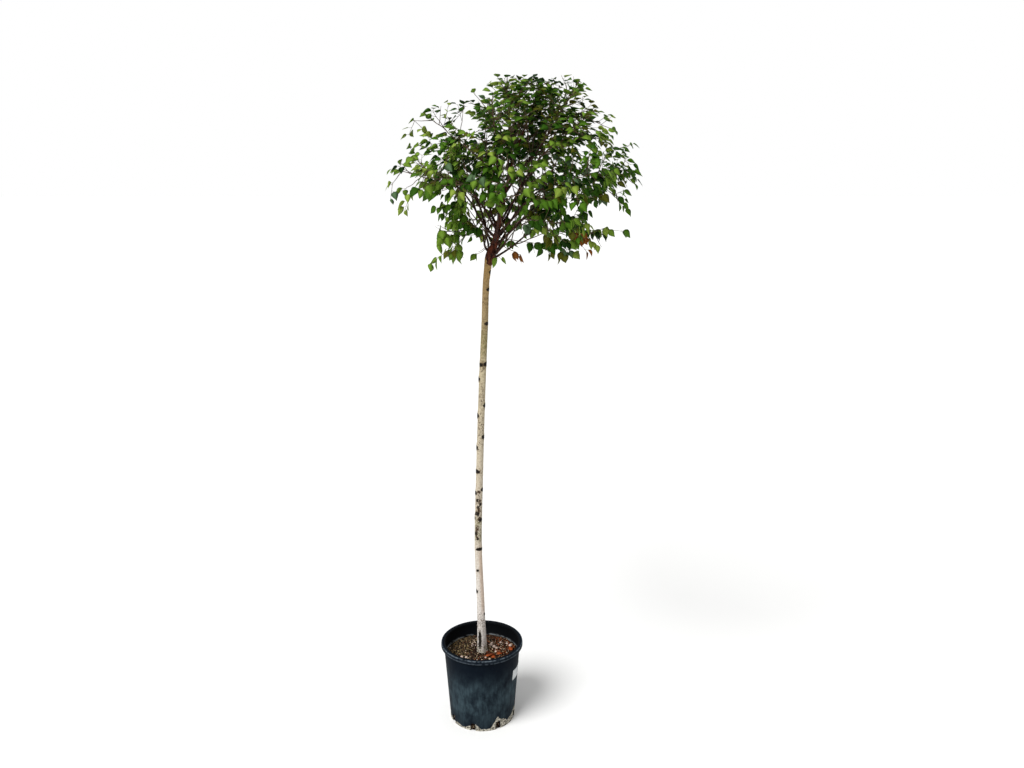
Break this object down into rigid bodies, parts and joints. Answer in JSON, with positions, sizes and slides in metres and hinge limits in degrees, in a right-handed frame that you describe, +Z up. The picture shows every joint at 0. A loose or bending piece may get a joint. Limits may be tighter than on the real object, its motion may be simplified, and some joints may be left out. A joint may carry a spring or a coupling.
{
  "type": "potted standard birch tree",
  "caption": "Young birch with a bare white stem, a grafted head of boughs and a domed leafy crown, standing in a round nursery pot.",
  "frame": {"origin": "centre of the pot's flat underside, where it stands on the ground", "axes": "+Z up along the stem, -Y to the front that the picture shows, +X to the right of that view"},
  "size_m": [0.7215, 0.716, 2.0289],
  "materials": {
    "pot_plastic": "moulded polypropylene, dusty",
    "potting_soil": "loose bark compost",
    "stem_bark": "white papery bark with dark scars",
    "bough_bark": "smooth red-brown young bark",
    "leaves": "fresh leaf, slightly waxy"
  },
  "bodies": {
    "root": {"bough_crest_1": "bough_bark", "bough_crest_2": "bough_bark", "bough_crest_3": "bough_bark", "bough_crest_4": "bough_bark", "bough_middle_1": "bough_bark", "bough_middle_2": "bough_bark", "bough_middle_3": "bough_bark", "bough_middle_4": "bough_bark", "bough_middle_5": "bough_bark", "bough_middle_6": "bough_bark", "bough_middle_7": "bough_bark", "bough_middle_8": "bough_bark", "bough_skirt_1": "bough_bark", "bough_skirt_2": "bough_bark", "bough_skirt_3": "bough_bark", "bough_skirt_4": "bough_bark", "bough_skirt_5": "bough_bark", "bough_top_1": "bough_bark", "bough_upper_1": "bough_bark", "bough_upper_2": "bough_bark", "bough_upper_3": "bough_bark", "bough_upper_4": "bough_bark", "bough_upper_5": "bough_bark", "foliage_crest_1": "leaves", "foliage_crest_2": "leaves", "foliage_crest_3": "leaves", "foliage_crest_4": "leaves", "foliage_middle_1": "leaves", "foliage_middle_2": "leaves", "foliage_middle_3": "leaves", "foliage_middle_4": "leaves", "foliage_middle_5": "leaves", "foliage_middle_6": "leaves", "foliage_middle_7": "leaves", "foliage_middle_8": "leaves", "foliage_skirt_1": "leaves", "foliage_skirt_2": "leaves", "foliage_skirt_3": "leaves", "foliage_skirt_4": "leaves", "foliage_skirt_5": "leaves", "foliage_top_1": "leaves", "foliage_upper_1": "leaves", "foliage_upper_2": "leaves", "foliage_upper_3": "leaves", "foliage_upper_4": "leaves", "foliage_upper_5": "leaves", "pot": "pot_plastic", "soil": "potting_soil", "stem": "stem_bark"}
  },
  "joints": []
}
